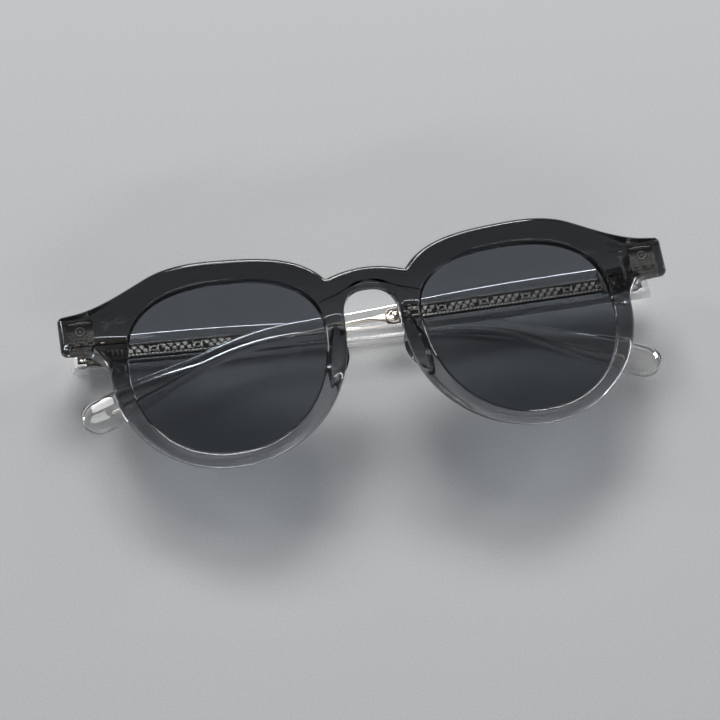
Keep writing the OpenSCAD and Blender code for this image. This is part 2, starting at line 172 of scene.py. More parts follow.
def two_tones(tree, noise, first_tone, last_tone, span=NOISE_MIDDLE):
    """A colour that runs from the first tone to the last over a span of the noise."""
    tones = add_node(tree, "ShaderNodeValToRGB", Fac=noise.outputs["Fac"])
    first, last = tones.color_ramp.elements
    first.position, last.position = span
    first.color, last.color = linear(first_tone), linear(last_tone)
    return tones.outputs["Color"]


TOOTH_PER_MM = 2.2
floor_material, tree = new_material("pale_grey_board")
tooth = add_node(tree, "ShaderNodeTexNoise", Vector=mm_coordinates(tree), Scale=TOOTH_PER_MM,
                 Detail=3.0)
board = add_node(tree, "ShaderNodeBsdfPrincipled", Roughness=0.85,
                 Base_Color=two_tones(tree, tooth, "#B2B3B4", "#BCBDBE"))
board.inputs["Specular IOR Level"].default_value = 0.2
finish_material(tree, board)
print("material:", floor_material.name)

# %% The table
TABLE_HALF, TABLE_DROP = 1.6, 0.00005  # metres; the drop keeps the table just under the glasses
floor_mesh = bpy.data.meshes.new("table")
bm = bmesh.new()
bmesh.ops.create_grid(bm, x_segments=8, y_segments=8, size=TABLE_HALF)
bm.to_mesh(floor_mesh)
bm.free()
floor = bpy.data.objects.new("table", floor_mesh)
bpy.context.scene.collection.objects.link(floor)
floor.location.z = -TABLE_DROP
floor_mesh.materials.append(floor_material)
print("table:", 2 * TABLE_HALF, "m wide")

# %% [markdown]
# Acetate and metal look like what they mirror. One wide soft box behind the glasses draws the light
# lines along their edges, a smaller one lights the temple tips, and three narrow strips outline the
# rims. A dim, even surround fills the shadows.

# %% The studio light
world = bpy.data.worlds.new("studio")
bpy.context.scene.world = world
world.use_nodes = True
tree = world.node_tree
tree.nodes.clear()
surround = add_node(tree, "ShaderNodeBackground", Color=linear("#F4F6FA"), Strength=0.16)
output = add_node(tree, "ShaderNodeOutputWorld")
tree.links.new(surround.outputs[0], output.inputs["Surface"])


def soft_box(name, place, width, height, watts):
    """A white area lamp that faces the glasses; place, width and height are in metres."""
    lamp = bpy.data.lights.new(name, "AREA")
    lamp.shape = "RECTANGLE"
    lamp.size, lamp.size_y = width, height
    lamp.energy = watts
    lamp_object = bpy.data.objects.new(name, lamp)
    bpy.context.scene.collection.objects.link(lamp_object)
    lamp_object.location = place
    lamp_object.rotation_euler = (-Vector(place)).to_track_quat("-Z", "Y").to_euler()


soft_box("box_behind", (0.12, 1.2, 0.92), 0.9, 0.36, 19.0)
soft_box("box_high", (-0.2, 0.84, 1.07), 0.42, 0.42, 4.5)
soft_box("strip_front", (0.14, -0.95, 0.55), 0.9, 0.07, 2.2)
soft_box("strip_left", (-1.0, 0.5, 0.6), 0.16, 0.45, 2.3)
soft_box("strip_right", (0.95, 0.55, 0.6), 0.16, 0.45, 2.3)

# %% [markdown]
# ## Acetate
#
# Cellulose acetate is cast in blocks, cut in sheets, milled, tumbled with pumice and polished on a
# wheel. It bends light nearly as glass does, and the wheel leaves a very faint waviness and hair
# marks in the gloss. The front's sheet is laminated from smoke grey and clear stock that run into
# each other, so its brow is dark and its lower rims are clear.


# %% Marks and gloss of the polish
HAIR_MM = 0.35  # coarser than real hair marks, which would be finer than a pixel


def polish_marks(tree, coordinates, wave_mm=5.0, depth=0.05):
    """Bump of a buffed surface: slow waves and finer hair marks."""
    wave = add_node(tree, "ShaderNodeTexNoise", Vector=coordinates, Scale=1 / wave_mm, Detail=1.5)
    hair = add_node(tree, "ShaderNodeTexNoise", Vector=coordinates, Scale=1 / HAIR_MM, Detail=4.0)
    first = add_node(tree, "ShaderNodeBump", Height=wave.outputs["Fac"], Strength=depth,
                     Distance=0.5 * MM)
    second = add_node(tree, "ShaderNodeBump", Height=hair.outputs["Fac"], Strength=depth * 0.25,
                      Distance=0.05 * MM, Normal=first.outputs["Normal"])
    return second.outputs["Normal"], hair.outputs["Fac"]


def gloss_range(tree, value, low, high):
    """Roughness that drifts a little over the surface."""
    drift = add_node(tree, "ShaderNodeMapRange", Value=value)
    drift.inputs["To Min"].default_value = low
    drift.inputs["To Max"].default_value = high
    return drift.outputs["Result"]


def lets_light_through(tree, shader, tint):
    """Clear plastic throws a light, tinted shadow: shadow rays pass, dimmed once at each face."""
    path = add_node(tree, "ShaderNodeLightPath")
    half_tint = add_node(tree, "ShaderNodeGamma", Color=tint, Gamma=0.5)
    passed = add_node(tree, "ShaderNodeBsdfTransparent", Color=half_tint.outputs["Color"])
    return add_node(tree, "ShaderNodeMixShader", i0=path.outputs["Is Shadow Ray"],
                    i1=shader.outputs[0], i2=passed.outputs[0])


print("hair marks, mm:", HAIR_MM)

# %% The run from smoke grey to clear
CLOUD_MM, CLOUD_SHIFT = 9.0, 0.10  # the colours run into each other in soft clouds


def height_on_front(tree, coordinates, cloud, along):
    """0 at the first and 1 at the second height on the front, in mm, with cloudy borders."""
    upwards = PLACE_FRONT.to_3x3() @ Vector((0, 1, 0))
    level = PLACE_FRONT.translation.dot(upwards)
    rise = add_node(tree, "ShaderNodeVectorMath", {"operation": "DOT_PRODUCT"},
                    i0=coordinates, i1=upwards)
    height = add_node(tree, "ShaderNodeMapRange", Value=rise.outputs["Value"])
    height.inputs["From Min"].default_value = along[0] + level
    height.inputs["From Max"].default_value = along[1] + level
    shift = add_node(tree, "ShaderNodeMath", {"operation": "MULTIPLY_ADD"},
                     i0=cloud, i1=CLOUD_SHIFT, i2=height.outputs["Result"])
    return add_node(tree, "ShaderNodeMath", {"operation": "SUBTRACT"},
                    i0=shift.outputs[0], i1=CLOUD_SHIFT / 2).outputs[0]


print("clouds, mm:", CLOUD_MM)


# %% Acetate
def acetate(name, stops, along=None, low=0.02, high=0.05, depth=0.05):
    """Polished acetate; along gives the heights on the front, in mm, of the first and last tint."""
    material, tree = new_material(name)
    coordinates = mm_coordinates(tree)
    normal, hair = polish_marks(tree, coordinates, depth=depth)
    cloud = add_node(tree, "ShaderNodeTexNoise", Vector=coordinates, Scale=1 / CLOUD_MM,
                     Detail=2.0).outputs["Fac"]
    place = height_on_front(tree, coordinates, cloud, along) if along else cloud
    tint = add_node(tree, "ShaderNodeValToRGB", Fac=place)
    tint.color_ramp.interpolation = "EASE"
    while len(tint.color_ramp.elements) < len(stops):
        tint.color_ramp.elements.new(0.5)
    for element, (position, colour) in zip(tint.color_ramp.elements, stops):
        element.position = position
        element.color = linear(colour)
    shader = add_node(tree, "ShaderNodeBsdfPrincipled", Base_Color=tint.outputs["Color"],
                      Roughness=gloss_range(tree, hair, low, high), IOR=1.49, Normal=normal)
    shader.inputs["Transmission Weight"].default_value = 1.0
    finish_material(tree, lets_light_through(tree, shader, tint.outputs["Color"]))
    return material


RIM_FOOT, BROW_TOP = -22.0, 20.0  # heights where the tint is palest and where it is darkest
SMOOTH = 0.015  # depth of the polish marks where the eye looks through the stock
smoke_acetate = acetate(
    "smoke_to_clear_acetate",
    [(0.0, "#BBBCBF"), (0.30, "#97989C"), (0.60, "#5C5E62"), (0.78, "#46484B"), (1.0, "#3A3C3F")],
    along=(RIM_FOOT, BROW_TOP), depth=SMOOTH)
clear_acetate = acetate("clear_crystal_acetate", [(0.0, "#E6E6E6"), (1.0, "#EFEEED")],
                        depth=SMOOTH)
pad_acetate = acetate("smoked_pad_acetate", [(0.0, "#D6D7D9"), (1.0, "#E0E1E2")], high=0.07)
print("acetates:", smoke_acetate.name, clear_acetate.name, pad_acetate.name)

# %% [markdown]
# Sun lenses are cut from a dyed plastic sheet and hard coated. The dye is an even blue grey, and
# the coat gives a clean thin gloss.

# %% Tinted lens
DYE_CLOUD_MM, LENS_WAVE_MM = 14.0, 18.0
dyed_lens, tree = new_material("dyed_lens_plastic")
coordinates = mm_coordinates(tree)
dye = add_node(tree, "ShaderNodeTexNoise", Vector=coordinates, Scale=1 / DYE_CLOUD_MM, Detail=1.0)
tint = two_tones(tree, dye, "#666B70", "#696E73", span=(0.0, 1.0))
normal, hair = polish_marks(tree, coordinates, wave_mm=LENS_WAVE_MM, depth=0.02)
lens_shader = add_node(tree, "ShaderNodeBsdfPrincipled", Base_Color=tint,
                       Roughness=gloss_range(tree, hair, 0.0, 0.015), IOR=1.5, Normal=normal)
lens_shader.inputs["Transmission Weight"].default_value = 1.0
finish_material(tree, lets_light_through(tree, lens_shader, tint))
print("material:", dyed_lens.name)


# %% [markdown]
# The hinge leaves and the core wires are nickel silver, a white copper alloy. The leaves are
# milled and brushed; their darker colour is painted shade, while what holds them in the acetate
# keeps the plain bright colour. The cores are rolled between engraved rolls; their flat ground is
# painted dark as shade and their raised ornament painted lighter as highlight, though all is one
# metal. The brush lines are drawn coarser than real ones, so that they show.

# %% Nickel silver and screw steel
MILLED, TURNED, ROLLED = (0.5, 3, 1), (1, 1, 6), (1, 12, 1)  # how fine the lines are along X, Y, Z


def brushed_metal(name, bright, dull, grain_mm, low, high, fineness=ROLLED, depth=0.12):
    """Metal with fine lines in its colour, gloss and bump."""
    material, tree = new_material(name)
    squeezed = add_node(tree, "ShaderNodeMapping", Vector=mm_coordinates(tree))
    squeezed.inputs["Scale"].default_value = fineness
    lines = add_node(tree, "ShaderNodeTexNoise", Vector=squeezed.outputs["Vector"],
                     Scale=1 / grain_mm, Detail=3.0)
    bump = add_node(tree, "ShaderNodeBump", Height=lines.outputs["Fac"], Strength=depth,
                    Distance=0.05 * MM)
    shader = add_node(tree, "ShaderNodeBsdfPrincipled", Metallic=1.0,
                      Base_Color=two_tones(tree, lines, dull, bright),
                      Roughness=gloss_range(tree, lines.outputs["Fac"], low, high),
                      Normal=bump.outputs["Normal"])
    finish_material(tree, shader)
    return material


hinge_silver = brushed_metal("brushed_nickel_silver", "#E2DCD1", "#CFC9BE", 0.6, 0.24, 0.32,
                             fineness=MILLED, depth=0.03)
# the leaves' darker tone is painted shade on the same nickel silver as the anchors
leaf_shaded_silver = brushed_metal("nickel_silver_painted_shade", "#8C877F", "#77726B", 0.6, 0.22, 0.3,
                            fineness=MILLED, depth=0.03)
screw_steel = brushed_metal("turned_screw_steel", "#D9D7D3", "#C2BFBA", 0.4, 0.14, 0.24,
                            fineness=TURNED)
# the core's ornament is painted lighter as highlight and its ground painted dark as shade; both are
# one nickel silver
core_lit_silver = brushed_metal("rolled_nickel_silver_painted_highlight", "#F8F2E8", "#E6DFD3", 0.8, 0.24, 0.36)
core_shaded_ground = brushed_metal("rolled_ground_painted_shade", "#2E2A27", "#1C1A18", 0.5, 0.5, 0.65)
print("materials:", sorted(m.name for m in bpy.data.materials))


# %% [markdown]
# ## Making a piece
#
# Each piece is drawn in its own frame, on its right-hand side. A matrix then puts its points where
# the piece lies, and a left piece's matrix also mirrors it. The object itself stays at the origin,
# as the CAD nodes do, so the box of its mesh is a tight one.

# %% From points to a piece
def add_piece(name, points, faces, place, body, material, crease=32):
    """A closed mesh from points in mm, smooth up to the crease angle, riding on a body."""
    bm = bmesh.new()
    verts = [bm.verts.new((place @ Vector(p)) * MM) for p in points]
    for face in faces:
        bm.faces.new([verts[i] for i in face])
    bmesh.ops.remove_doubles(bm, verts=bm.verts, dist=0.0005 * MM)
    bmesh.ops.recalc_face_normals(bm, faces=bm.faces)
    for f in bm.faces:
        f.smooth = True
    for e in bm.edges:
        e.smooth = e.calc_face_angle(0.0) < math.radians(crease)
    mesh = bpy.data.meshes.new(name)
    bm.to_mesh(mesh)
    open_edges = sum(1 for e in bm.edges if len(e.link_faces) != 2)
    bm.free()
    mesh.materials.append(material)
    piece = bpy.data.objects.new(name, mesh)
    bpy.context.scene.collection.objects.link(piece)
    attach(piece, body)
    print(name, len(mesh.polygons), "faces,", open_edges, "open edges")
    return piece


def tube_faces(m, n, first=0):
    """Faces of n rings with m points each, closed at both ends."""
    sides = [(first + i * m + j, first + i * m + (j + 1) % m, first + (i + 1) * m + (j + 1) % m,
              first + (i + 1) * m + j) for i in range(n - 1) for j in range(m)]
    return sides + [tuple(first + j for j in range(m - 1, -1, -1)),
                    tuple(first + (n - 1) * m + j for j in range(m))]


def shares(count, first=0, last=None):
    """Even shares of 1, from step first to step last of the count."""
    return [k / count for k in range(first, (count if last is None else last) + 1)]


print("quarters:", shares(4))

# %% [markdown]
# ## Front
#
# The front's two curves are the lens opening and the outer outline. Each is a superellipse with an
# upper and a lower half that differ, a little tilted. The section between them has bevelled and
# polished edges and a groove for the lens. Sweeping that section round the outline gives one half,
# and the mirror image closes the bridge. The endpieces run back to the mitre, where the open
# temples meet them.

# %% Sizes of the front
# The lens opening: its width, its height over and under its centre, the centre's level, and the
# distance between the two openings
EYE_W, EYE_UP, EYE_DOWN, EYE_LEVEL, NOSE_W = 45.4, 16.6, 25.7, 4.6, 23.0
# The rim's width at the side, over and under the opening, and how much lower its centre lies
RIM_SIDE, RIM_BROW, RIM_LOW, RIM_DROP = 4.7, 5.6, 2.8, 1.0
EYE_TILT, EYE_POWERS = 4.5, (2.6, 2.13)  # degrees; 2 is an ellipse, and more is squarer
RIM_TILT, RIM_POWERS = 7, (2.9, 2)
BRIDGE_TOP, BRIDGE_H = 19.4, 4.9
END_X, END_TOP, END_H, END_R = 72.1, 20.7, 9.7, 1.3
BLOCK_FROM, BLOCK_FULL = END_X - 15, END_X - 6  # the endpiece deepens from one to the other
FRONT_T, CURVE = 4.2, 300.0  # the sheet's thickness and the radius it is curved to
BEVEL, EDGE_FRONT, EDGE_BACK = 0.8, 1.25, 1.1  # radii of the mouth's and the outer edges
# The groove's depth, and the lens's distance from the front face, its thickness and its play
GROOVE, LENS_SET, LENS_T, LENS_GAP = 0.6, 1.0, 2.0, 0.08
EYE_C = Vector(((NOSE_W + EYE_W) / 2, EYE_LEVEL))
RIM_C = Vector((EYE_C.x, EYE_LEVEL - RIM_DROP))
# The temple's butt: how far it reaches over the hinge axis, inside and outside, and its gap
BUTT_IN, BUTT_OUT, BUTT_GAP = 4.0, 4.9, 0.15
MITRE = (BUTT_OUT - BUTT_IN) / TEMPLE_T
print("lens opening in mm:", EYE_W, "x", EYE_UP + EYE_DOWN)


# %% The curves of the front
def super_r(t, half, up_r, down_r, powers):
    """Radius of a superellipse with an upper and a lower half."""
    s, c = math.sin(math.radians(t)), math.cos(math.radians(t))
    n, b = (powers[0], up_r) if s >= 0 else (powers[1], down_r)
    return ((abs(c) / half) ** n + (abs(s) / b) ** n) ** (-1 / n)


def direction(t):
    return Vector((math.cos(math.radians(t)), math.sin(math.radians(t))))


def eye_point(t, out=0.0):
    """A point of the lens opening, or of a curve further out."""
    r = super_r(t - EYE_TILT, EYE_W / 2, EYE_UP, EYE_DOWN, EYE_POWERS)
    return EYE_C + (r + out) * direction(t)


def rim_point(t):
    """A point of the outer curve, which the bridge and the endpiece interrupt."""
    return RIM_C + super_r(t - RIM_TILT, EYE_W / 2 + RIM_SIDE, EYE_UP + RIM_DROP + RIM_BROW,
                           EYE_DOWN - RIM_DROP + RIM_LOW, RIM_POWERS) * direction(t)


def sag(x):
    """How far the front's cylinder falls back at x."""
    return math.sqrt(CURVE * CURVE - x * x) - CURVE


def bezier(p, u):
    return ((1 - u) ** 3 * p[0] + 3 * u * (1 - u) ** 2 * p[1] + 3 * u * u * (1 - u) * p[2]
            + u ** 3 * p[3])


def eye_angle(p, near):
    """The angle of a point from the lens opening's centre, counted on to the turn that is near."""
    a = math.degrees(math.atan2(p.y - EYE_C.y, p.x - EYE_C.x))
    return a + 360 * round((near - a) / 360)


print("right lens's centre in mm:", [round(v, 1) for v in EYE_C])

# %% The front's outer outline, from the nose up over the bridge and round the rim
NOTCH_T, BROW_T, JOIN_T, NOSE_T = 150.5, 54.0, 1.0, -186.0  # angles on the rim where parts meet
ARCH_POWER, ARCH_FROM, ARCH_N = 0.8, 4, 23
END_FLAT = 0.47 * END_H  # straight part of the endpiece's upper and lower edges
notch, nose = rim_point(NOTCH_T), rim_point(NOSE_T)
arch_top = BRIDGE_TOP - BRIDGE_H
arch = []
for k in range(ARCH_N):
    a = math.radians(ARCH_FROM + (90 - ARCH_FROM) * k / ARCH_N)
    arch.append(Vector((nose.x * math.cos(a) ** ARCH_POWER,
                        nose.y + (arch_top - nose.y) * math.sin(a) ** ARCH_POWER)))
arch.append(Vector((0, arch_top)))
seam = [Vector((0, mix(arch_top, BRIDGE_TOP, u))) for u in (0.48, 0.52)]
crown = [Vector((u * notch.x, mix(BRIDGE_TOP, notch.y, u * u))) for u in shares(15, last=14)]
brow_rim = [rim_point(mix(NOTCH_T, BROW_T, u)) for u in shares(60)]
brow_dir = (rim_point(BROW_T - 1) - rim_point(BROW_T + 1)).normalized()
brow_end = Vector((END_X - END_FLAT, END_TOP))
brow_curve = [rim_point(BROW_T), rim_point(BROW_T) + 0.57 * END_H * brow_dir,
              brow_end + END_H * Vector((-0.62, 0.03)), brow_end]
brow = [bezier(brow_curve, u) for u in shares(20, first=1)]
corner_top = [Vector((END_X - END_R, END_TOP - END_R)) + END_R * direction(a)
              for a in range(90, -1, -10)]
corner_low = [Vector((END_X - END_R, END_TOP - END_H + END_R)) + END_R * direction(a)
              for a in range(0, -91, -10)]
join_dir = (rim_point(JOIN_T + 1) - rim_point(JOIN_T - 1)).normalized()
under_end = Vector((END_X - END_FLAT, END_TOP - END_H))
under_curve = [under_end, under_end - Vector((0.27 * END_H, 0)),
               rim_point(JOIN_T) + 0.35 * END_H * join_dir, rim_point(JOIN_T)]
under = [bezier(under_curve, u) for u in shares(16, last=15)]
low_rim = [rim_point(mix(JOIN_T, NOSE_T, u)) for u in shares(120)]
end_loop = brow + corner_top + corner_low + under
outline = arch + seam + crown + brow_rim + end_loop + low_rim
SEAM_FIRST, SEAM_LAST = len(arch) - 1, len(arch) + len(seam)
BRIDGE_N = len(arch) + len(seam) + len(crown)
END_FIRST = BRIDGE_N + len(brow_rim)
END_LAST = END_FIRST + len(end_loop)
print("outline points:", len(outline))


# %% Where each point of the outline looks, and what part of the lens opening it faces
def normal_at(i):
    """Outward normal of the outline; none inside the seam, where the two halves meet."""
    if SEAM_FIRST <= i <= SEAM_LAST:
        return Vector((0, {SEAM_FIRST: -1, SEAM_LAST: 1}.get(i, 0)))
    d = outline[(i + 1) % len(outline)] - outline[i - 1]
    return Vector((-d.y, d.x)).normalized()


TOP_ANGLE, NOSE_ANGLE = eye_angle(notch, 150), eye_angle(nose, -186)
BROW_ANGLE, JOIN_ANGLE = eye_angle(brow_rim[-1], 50), eye_angle(low_rim[0], 0)


def mouth_angle(i):
    """Angle on the lens opening for a point of the outline, so that the bar has no twist."""
    if i < BRIDGE_N:
        return mix(NOSE_ANGLE + 360, TOP_ANGLE, (i + 1) / (BRIDGE_N + 1))
    if i < END_FIRST:
        return eye_angle(outline[i], 100)
    if i < END_LAST:
        return mix(BROW_ANGLE, JOIN_ANGLE, (i - END_FIRST + 1) / (len(end_loop) + 1))
    return eye_angle(outline[i], mix(0, -180, (i - END_LAST) / (len(low_rim) - 1)))


def rear(p):
    """Depth of the mitre that the open temple meets."""
    x, y = p.x - HINGE.x, p.y - HINGE.y
    c, s = math.cos(math.radians(CANT)), math.sin(math.radians(CANT))
    butt = BUTT_IN + BUTT_GAP + MITRE * (x * c + y * s - TEMPLE_SET)
    tilt = math.radians(PANTO)
    return -HINGE.z + y * math.tan(tilt) - butt / math.cos(tilt)


print("mitre behind the hinge, mm:", round(rear(HINGE), 2))

# %% The section of the front at each point of the outline
MOUTH_STEPS, BACK_STEPS, FRONT_STEPS = 4, 6, 8


def quarter(radius, steps):
    """A rounded edge as two insets per point, of which one shrinks while the other grows."""
    angles = [math.radians(90 * k / steps) for k in range(steps + 1)]
    return [(radius * (1 - math.sin(q)), radius * (1 - math.cos(q))) for q in angles]


def section(i):
    """(x, y, depth) round the bar of the front: mouth, groove, back, outer edge, front."""
    a, out = mouth_angle(i), outline[i]
    n = normal_at(i)
    end = ramp(out.x, BLOCK_FROM, BLOCK_FULL) if END_FIRST <= i < END_LAST else 0
    rows = []

    def mouth(offset, depth):
        p = eye_point(a, offset)
        rows.append((p.x, p.y, depth))

    def edge(inset, depth):
        p = out - inset * n
        rows.append((p.x, p.y, depth))

    for offset, depth in quarter(BEVEL, MOUTH_STEPS):
        mouth(offset, depth)
    low, high = LENS_SET - LENS_GAP, LENS_SET + LENS_T + LENS_GAP
    for offset, depth in [(0, low), (GROOVE, low), (GROOVE, high), (0, high)]:
        mouth(offset, depth)
    for short_of_back, offset in quarter(BEVEL, MOUTH_STEPS):
        mouth(offset, FRONT_T - short_of_back)
    b = mix(FRONT_T, rear(out) + sag(out.x), end)
    m = eye_point(a, BEVEL)
    inner = out - EDGE_BACK * n
    for u in (0.3, 0.6, 0.8):
        p = m.lerp(inner, u)
        deep = ramp(p.x, BLOCK_FROM, BLOCK_FULL) if end else 0
        rows.append((p.x, p.y, mix(FRONT_T, rear(p) + sag(p.x), deep)))
    for short_of_back, inset in reversed(quarter(EDGE_BACK, BACK_STEPS)):
        edge(inset, b - short_of_back)
    for depth, inset in quarter(EDGE_FRONT, FRONT_STEPS):
        edge(inset, depth)
    return rows


rings = [section(i) for i in range(len(outline))]
print("sections:", len(rings), "of", len(rings[0]), "points")

# %% The two halves, joined at the bridge
M, N = len(rings[0]), len(outline)
EDGE_FROM = M - (BACK_STEPS + 1) - (FRONT_STEPS + 1)
half = [(x, y, sag(x) - depth) for ring in rings for x, y, depth in ring]
half_faces = []
for i in range(N):
    for j in range(M):
        if SEAM_FIRST <= i < SEAM_LAST and EDGE_FROM <= j < M - 1:
            continue  # the seam is open, and the other half closes it
        k, l = (i + 1) % N, (j + 1) % M
        half_faces.append((i * M + j, k * M + j, k * M + l, i * M + l))
n = len(half)
front_points = half + [(-x, y, z) for x, y, z in half]
front_faces = half_faces + [tuple(n + v for v in reversed(f)) for f in half_faces]
front = add_piece("front_acetate", front_points, front_faces, PLACE_FRONT, "front", smoke_acetate,
                  crease=40)
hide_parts("front")

# %% [markdown]
# ## Lenses and nose pads
#
# A lens is a curved plate a little larger than its opening, held in the groove with a hair of play.
# Its rings run out to the edge, where two small bevels lead into the groove.


# %% Lenses
LENS_N, LENS_BEVEL = 200, 0.25


def lens_shape():
    """Rings from the middle of the front face, over the edge, to the middle of the back."""
    angles = [360 * k / LENS_N for k in range(LENS_N)]
    size = GROOVE - LENS_GAP
    inner = (0.02, 0.25, 0.5, 0.75, 0.94)
    profile = [(share, 0, 0) for share in inner]
    profile += [(1, -LENS_BEVEL, 0), (1, 0, LENS_BEVEL),
                (1, 0, LENS_T - LENS_BEVEL), (1, -LENS_BEVEL, LENS_T)]
    profile += [(share, 0, LENS_T) for share in reversed(inner)]
    points = []
    for share, extra, depth in profile:
        for a in angles:
            p = EYE_C + share * (eye_point(a, size + extra) - EYE_C)
            points.append((p.x, p.y, sag(p.x) - LENS_SET - depth))
    return points, tube_faces(LENS_N, len(profile))


lens_points, lens_faces = lens_shape()
for side, place in (("left", PLACE_FRONT @ MIRROR), ("right", PLACE_FRONT)):
    lens = add_piece("lens_" + side + "_dyed", lens_points, lens_faces, place, "front", dyed_lens)
    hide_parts("lens_" + side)


# %% Nose pads
PAD_AT, PAD_SPAN = 190, 17.2  # angle on the rim of its middle, and from there to its ends
PAD_HALF, PAD_RISE, PAD_IN, PAD_SUNK = 2.5, 3.6, 1.9, 0.02
PAD_FULL = 0.85  # 1 is a plain half ellipse, and less is fuller


def pad_shape():
    """A long low dome on the back of the rim, beside the nose."""
    seat = FRONT_T - sag(EYE_C.x - EYE_W / 2) - PAD_SUNK
    points, steps, round_n = [], 28, 24
    for k in range(steps + 1):
        u = -1 + 2 * k / steps
        swell = max(0.0, 1 - abs(u) ** 1.9) ** 1.05 * 0.985 + 0.015
        centre = rim_point(PAD_AT + PAD_SPAN * u) + Vector((PAD_IN + 0.3 * abs(u), 0))
        for j in range(round_n + 1):
            v = math.pi * j / round_n
            wide = math.copysign(abs(math.cos(v)) ** PAD_FULL, math.cos(v))
            points.append((centre.x + PAD_HALF * swell * wide, centre.y,
                           -seat - PAD_RISE * swell * math.sin(v) ** PAD_FULL))
    return points, tube_faces(round_n + 1, steps + 1)


pad_points, pad_faces = pad_shape()
for side, place in (("left", PLACE_FRONT @ MIRROR), ("right", PLACE_FRONT)):
    pad = add_piece("nose_pad_" + side + "_acetate", pad_points, pad_faces, place, "front",
                    pad_acetate)
    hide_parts("nose_pad_" + side)

# %% [markdown]
# ## Temples
#
# A temple is shot: the heated acetate bar takes the core wire, and the bar is then milled to its
# taper, bent for the ear and tumbled. The shape is a row of rounded rectangles along one path, with
# a mitre at the hinge and a full round tip.

# %% The temple's path and section
# Where the taper starts, the straight part's end, the ear bend's radius and degrees, and the rest
TAPER, SHANK, BEND_R, BEND, TAIL = 22.0, 82.0, 60.0, 21.0, 29.5
BEND_L = BEND_R * math.radians(BEND)
WAIST = SHANK + 0.95 * BEND_L
TIP = SHANK + BEND_L + TAIL
TEMPLE_H, WAIST_H, TIP_H, TAIL_T = 8.3, 3.7, 8.7, 3.5
EDGE_SHANK, EDGE_TIP, CORNER_STEPS = 0.8, 1.4, 7
TIP_CROWN = 0.35  # how far the tip's faces fall off to their edges
PILLOW, PILLOW_FROM, PILLOW_RUN = 0.6, 6.0, 10.0  # and how far to the tip's end, from where on


def temple_path(s):
    """(x, y, angle) of the temple's middle line at distance s from the hinge axis."""
    a = max(0.0, min(BEND, math.degrees((s - SHANK) / BEND_R)))
    r = math.radians(a)
    run, rest = min(s, SHANK), max(0.0, s - SHANK - BEND_L)
    return (-run - BEND_R * math.sin(r) - rest * math.cos(r),
            -BEND_R * (1 - math.cos(r)) - rest * math.sin(r), r)


def temple_ring(s, share=1.0, draw_in=0.0):
    """A rounded rectangle across the temple at s, its height scaled and its faces drawn in."""
    x, y, a = temple_path(s)
    at = min(s, TIP)
    h = share * mix(mix(TEMPLE_H, WAIST_H, ramp(at, TAPER, WAIST)), TIP_H,
                    ramp(at, WAIST, TIP - 0.35 * TIP_H))
    t = mix(TEMPLE_T, TAIL_T, ramp(s, 0.7 * TAPER, SHANK)) - 2 * draw_in
    r = min(mix(EDGE_SHANK, EDGE_TIP, ramp(s, SHANK, TIP)), 0.49 * t, 0.49 * h)
    crown = TIP_CROWN * ramp(s, WAIST, TIP)
    pillow = PILLOW * (max(0.0, s - TIP + PILLOW_FROM) / PILLOW_RUN) ** 2
    ring = []

    def add(v, z):
        z -= math.copysign(crown * min(1.0, (2 * v / h) ** 2) + pillow, z)
        z -= TEMPLE_OUT - draw_in - t / 2
        ring.append((x - v * math.sin(a), y + v * math.cos(a), z))

    for q in range(4):
        sy, sz = (1 if q in (0, 3) else -1), (1 if q < 2 else -1)
        for k in range(CORNER_STEPS):
            b = math.radians(90 * q + 90 * k / (CORNER_STEPS - 1))
            add(sy * (h / 2 - r) + r * math.cos(b), sz * (t / 2 - r) + r * math.sin(b))
        if q in (0, 2):
            for k in range(1, 6):  # points along the wide faces carry the crown
                add(sy * (h / 2 - r) * (1 - k / 3), sz * t / 2)
    return ring


print("temple's middle line in mm:", round(TIP + TIP_H / 2, 1))


# %% The temples
TIP_CLOSE, TIP_FULL = 88, 0.96  # the tip's arc ends in a tiny flat face, and is a little full
TIP_THIN, TIP_THIN_POWER = 0.9, 1.1  # how far its faces close in, and how late


def temple_shape():
    """Rings from the mitred butt to the round end."""
    butt = [(BUTT_IN - (z + TEMPLE_SET) * MITRE, y, z) for x, y, z in temple_ring(0)]
    stations = [2, 6, 12] + [mix(15, SHANK, u) for u in shares(18)]
    stations += [SHANK + BEND_L * u for u in shares(16, first=1)]
    stations += [mix(SHANK + BEND_L, TIP, u) for u in shares(18, first=1)]
    rows = [butt] + [temple_ring(s) for s in stations]
    for u in shares(12, first=1):
        a = math.radians(TIP_CLOSE * u)
        rows.append(temple_ring(TIP + TIP_H / 2 * math.sin(a), math.cos(a) ** TIP_FULL,
                                TIP_THIN * (1 - math.cos(a)) ** TIP_THIN_POWER))
    return [p for row in rows for p in row], tube_faces(len(rows[0]), len(rows))


temple_points, temple_faces = temple_shape()
for side, place in (("left", PLACE_LEFT), ("right", PLACE_RIGHT)):
    temple = add_piece("temple_" + side + "_acetate", temple_points, temple_faces, place,
                       "temple_" + side, clear_acetate)
    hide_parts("temple_" + side)

# %% [markdown]
# ## Core wires
#
# Inside each temple lies a rolled strip. Fine beads run along its upper edge, and a rope of larger
# ones along the lower. Between them panels of small scrolls take turns with plain ovals, and the
# strip's end is a round head with beads. From there a plain flat point narrows to a round wire that
# runs to the tip. The ornament is a common one. Each raised part is a small solid on the strip.

# %% Small raised shapes
def arc(x, y, across, up, degrees):
    """Points of an ellipse round (x, y) at each of the angles."""
    return [(x + across * math.cos(math.radians(a)), y + up * math.sin(math.radians(a)))
            for a in degrees]


